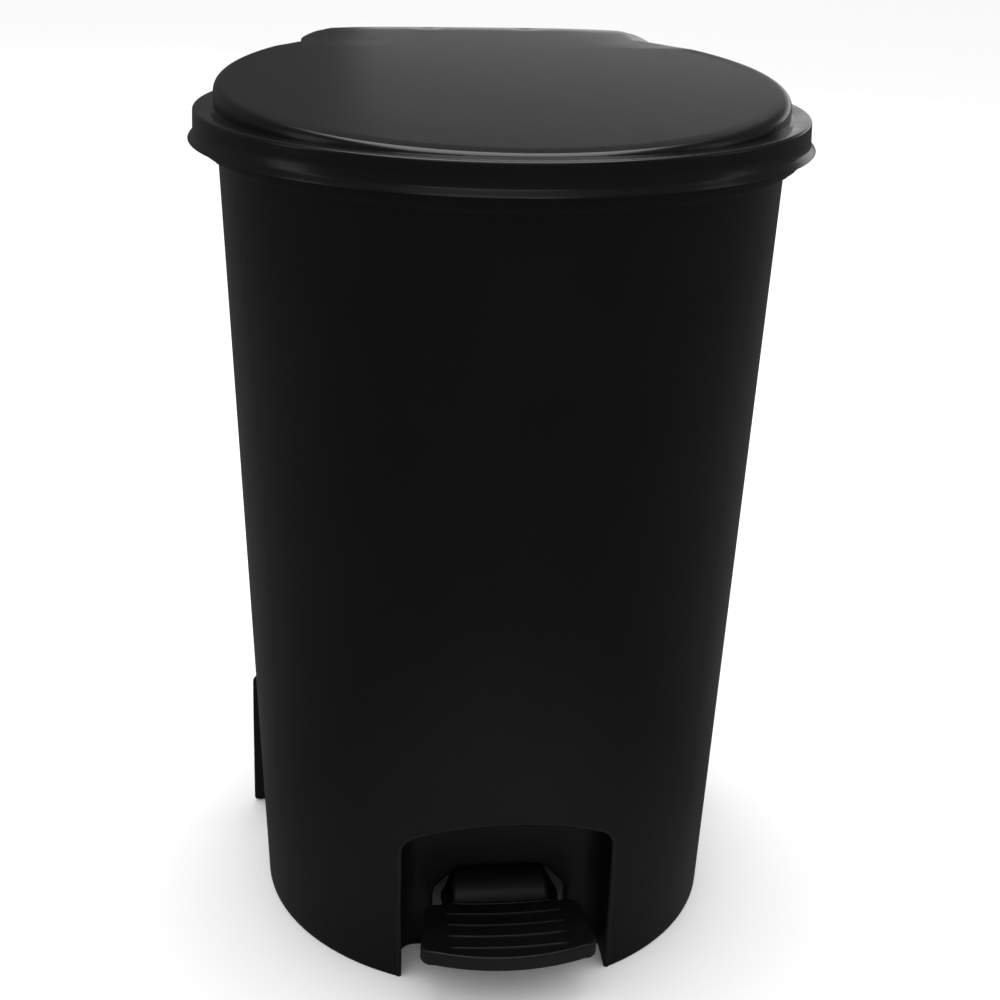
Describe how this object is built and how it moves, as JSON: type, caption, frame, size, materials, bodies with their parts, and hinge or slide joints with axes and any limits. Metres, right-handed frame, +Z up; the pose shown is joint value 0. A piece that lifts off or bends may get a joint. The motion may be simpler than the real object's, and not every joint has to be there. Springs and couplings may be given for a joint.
{
  "type": "pedal bin",
  "caption": "Tall round kitchen waste bin with a hinged stepped lid that a foot pedal at the front lifts through a lever and a rod at the back.",
  "frame": {"origin": "centre of the bounding box at floor level", "axes": "+Z up, -Y is the front with the pedal, +X to the right seen from the front"},
  "size_m": [0.406, 0.4213, 0.5973],
  "materials": {
    "body_plastic": "satin gloss, black",
    "lid_plastic": "satin gloss, black, finely textured disc",
    "pedal_plastic": "satin, black",
    "fitting_plastic": "fine matte, black",
    "pin_steel": "drawn steel",
    "screw_steel": "zinc plated"
  },
  "bodies": {
    "body": {"body_shell": "body_plastic", "pedal_recess": "fitting_plastic", "rear_guard": "fitting_plastic", "rod_channel": "fitting_plastic", "rod_guide_lower": "fitting_plastic", "rod_guide_upper": "fitting_plastic", "hinge_bracket_left": "fitting_plastic", "hinge_bracket_right": "fitting_plastic", "hinge_pin_left": "pin_steel", "hinge_pin_right": "pin_steel", "axle_bracket_left": "fitting_plastic", "axle_bracket_right": "fitting_plastic", "pedal_axle": "pin_steel", "axle_clip_left": "pin_steel", "axle_clip_right": "pin_steel", "channel_screw_lower": "screw_steel", "channel_screw_upper": "screw_steel", "guide_screw_lower": "screw_steel", "guide_screw_upper": "screw_steel", "guard_screw_left": "screw_steel", "guard_screw_right": "screw_steel", "hinge_screw_left": "screw_steel", "hinge_screw_right": "screw_steel", "floor_screw_1": "screw_steel", "floor_screw_2": "screw_steel", "floor_screw_3": "screw_steel", "floor_screw_4": "screw_steel"},
    "pedal": {"pedal_plate": "pedal_plastic", "pedal_lever": "pedal_plastic", "pedal_screw_left": "screw_steel", "pedal_screw_right": "screw_steel"},
    "rod": {"push_rod": "pin_steel", "rod_foot": "fitting_plastic", "rod_head": "fitting_plastic"},
    "lid": {"lid_shell": "lid_plastic", "crank_pin": "pin_steel"}
  },
  "joints": [
    {"name": "lid_hinge", "type": "hinge", "parent": "body", "child": "lid", "pos_m": [0, 0.2031, 0.5523], "axis": [-1, 0, 0], "range_deg": [0, 70]},
    {"name": "pedal_pivot", "type": "hinge", "parent": "body", "child": "pedal", "pos_m": [0, -0.0029, 0.045], "axis": [1, 0, 0], "range_deg": [0, 6.9]},
    {"name": "rod_lift", "type": "slide", "parent": "body", "child": "rod", "axis": [0, 0, 1], "range_m": [0, 0.0226]}
  ],
  "couplings": [
    {"joint": "pedal_pivot", "follows": "lid_hinge", "ratio": 0.098036},
    {"joint": "rod_lift", "follows": "lid_hinge", "m_per_rad": 0.018404}
  ]
}
